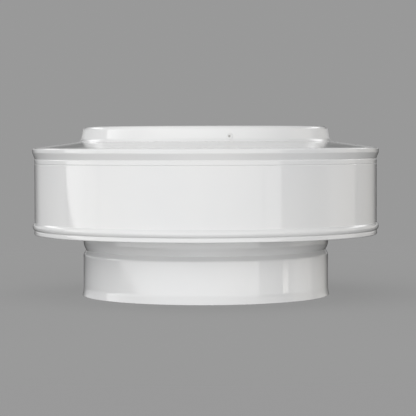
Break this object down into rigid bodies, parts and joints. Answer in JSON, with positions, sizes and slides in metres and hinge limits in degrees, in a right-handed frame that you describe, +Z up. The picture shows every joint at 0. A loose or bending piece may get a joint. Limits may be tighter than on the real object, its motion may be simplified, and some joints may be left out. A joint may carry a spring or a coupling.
{
  "type": "round static exhaust vent head",
  "caption": "Round static vent head: a wide wind band and sloping deck with a raised cap over a short flared tail pipe with a rolled stop groove.",
  "frame": {"origin": "centre of the tail pipe's bottom rim, on the vent's axis", "axes": "+Z up along the vent's axis, from the tail pipe to the cap; -Y towards the side that the picture shows"},
  "size_m": [0.4352, 0.4352, 0.2122],
  "materials": {
    "white_coat": "glossy white stoved coating on spun aluminium sheet",
    "mill_aluminium": "plain mill finish",
    "screen_wire": "galvanised steel wire, dull",
    "sealant": "matt off-white sealant"
  },
  "bodies": {
    "root": {"tail_pipe": "white_coat", "wind_band": "white_coat", "deck_ring": "white_coat", "top_cap": "white_coat", "cap_seal": "sealant", "strap_1": "mill_aluminium", "strap_2": "mill_aluminium", "strap_3": "mill_aluminium", "cap_rivets": "white_coat", "cap_rivet_mandrels": "mill_aluminium", "strap_rivets": "white_coat", "strap_rivet_mandrels": "mill_aluminium", "screen_rivets": "white_coat", "screen_rivet_mandrels": "mill_aluminium", "screen_uprights": "screen_wire", "screen_rounds": "screen_wire", "screen_clamp_band": "mill_aluminium", "screen_top_band": "mill_aluminium"}
  },
  "joints": []
}
